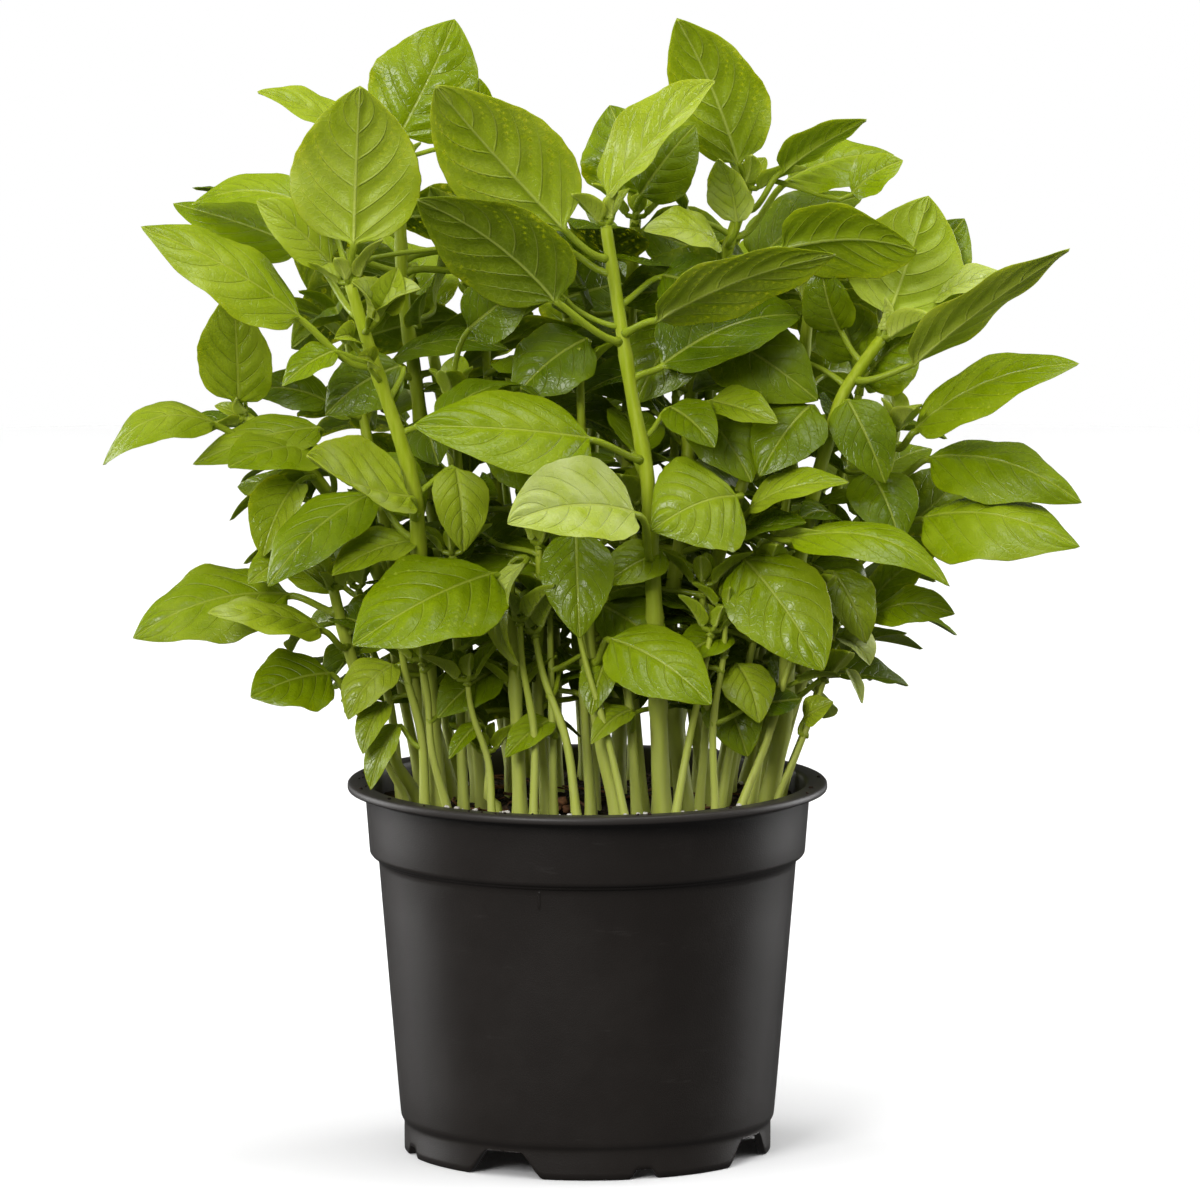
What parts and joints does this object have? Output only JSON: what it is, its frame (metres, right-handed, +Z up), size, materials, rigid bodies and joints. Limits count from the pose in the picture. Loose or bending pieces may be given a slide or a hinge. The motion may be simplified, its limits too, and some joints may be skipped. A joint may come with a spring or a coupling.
{
  "type": "potted basil plant",
  "caption": "Bushy leafy herb with oval leaves on upright stems, growing from soil in a round tapered nursery pot with a lipped rim and notched feet.",
  "frame": {"origin": "on the surface that the pot stands on, at the pot's axis, which is the middle of the whole plant's box to within about 2 mm", "axes": "+Z up along the pot's axis, the plant's front faces -Y, +X to the viewer's right"},
  "size_m": [0.2629, 0.1597, 0.3079],
  "materials": {
    "pot_plastic": "semi-matte moulded black-brown plastic",
    "potting_mix": "loose dark peat with fibres and white grains",
    "stem_green": "satin pale green stem",
    "leaf_green": "satin to glossy veined leaf"
  },
  "bodies": {
    "root": {"leaf_back_left_lower": "leaf_green", "leaf_back_left_upper": "leaf_green", "leaf_back_low": "leaf_green", "leaf_back_right_lower": "leaf_green", "leaf_back_right_upper": "leaf_green", "leaf_back_round": "leaf_green", "leaf_back_top": "leaf_green", "leaf_centre_dark": "leaf_green", "leaf_centre_hanging": "leaf_green", "leaf_droop_right": "leaf_green", "leaf_far_left": "leaf_green", "leaf_front_bumpy": "leaf_green", "leaf_front_large": "leaf_green", "leaf_front_left": "leaf_green", "leaf_front_low": "leaf_green", "leaf_front_pale": "leaf_green", "leaf_front_right": "leaf_green", "leaf_high_centre": "leaf_green", "leaf_high_left": "leaf_green", "leaf_high_right": "leaf_green", "leaf_left_back": "leaf_green", "leaf_left_cupped": "leaf_green", "leaf_left_hanging": "leaf_green", "leaf_left_standing": "leaf_green", "leaf_low_far_right": "leaf_green", "leaf_low_left": "leaf_green", "leaf_low_left_front": "leaf_green", "leaf_low_left_hanging": "leaf_green", "leaf_low_right": "leaf_green", "leaf_mid_left": "leaf_green", "leaf_mid_right": "leaf_green", "leaf_middle_far_right": "leaf_green", "leaf_round_right": "leaf_green", "leaf_spear_left": "leaf_green", "leaf_spear_right": "leaf_green", "leaf_top_back_right": "leaf_green", "leaf_top_centre": "leaf_green", "leaf_top_far_right": "leaf_green", "leaf_top_left": "leaf_green", "leaf_top_right": "leaf_green", "leaf_upper_far_right": "leaf_green", "leaf_upright_left": "leaf_green", "pot": "pot_plastic", "potting_soil": "potting_mix", "stem_back_centre": "stem_green", "stem_back_left": "stem_green", "stem_back_left_tall": "stem_green", "stem_back_outer": "stem_green", "stem_back_right": "stem_green", "stem_back_right_tall": "stem_green", "stem_centre_tall": "stem_green", "stem_front_centre": "stem_green", "stem_front_left": "stem_green", "stem_left_leaning": "stem_green", "stem_left_low": "stem_green", "stem_left_tall": "stem_green", "stem_right_inner": "stem_green", "stem_right_leaning": "stem_green", "stem_right_outer": "stem_green", "stem_right_tall": "stem_green"}
  },
  "joints": []
}
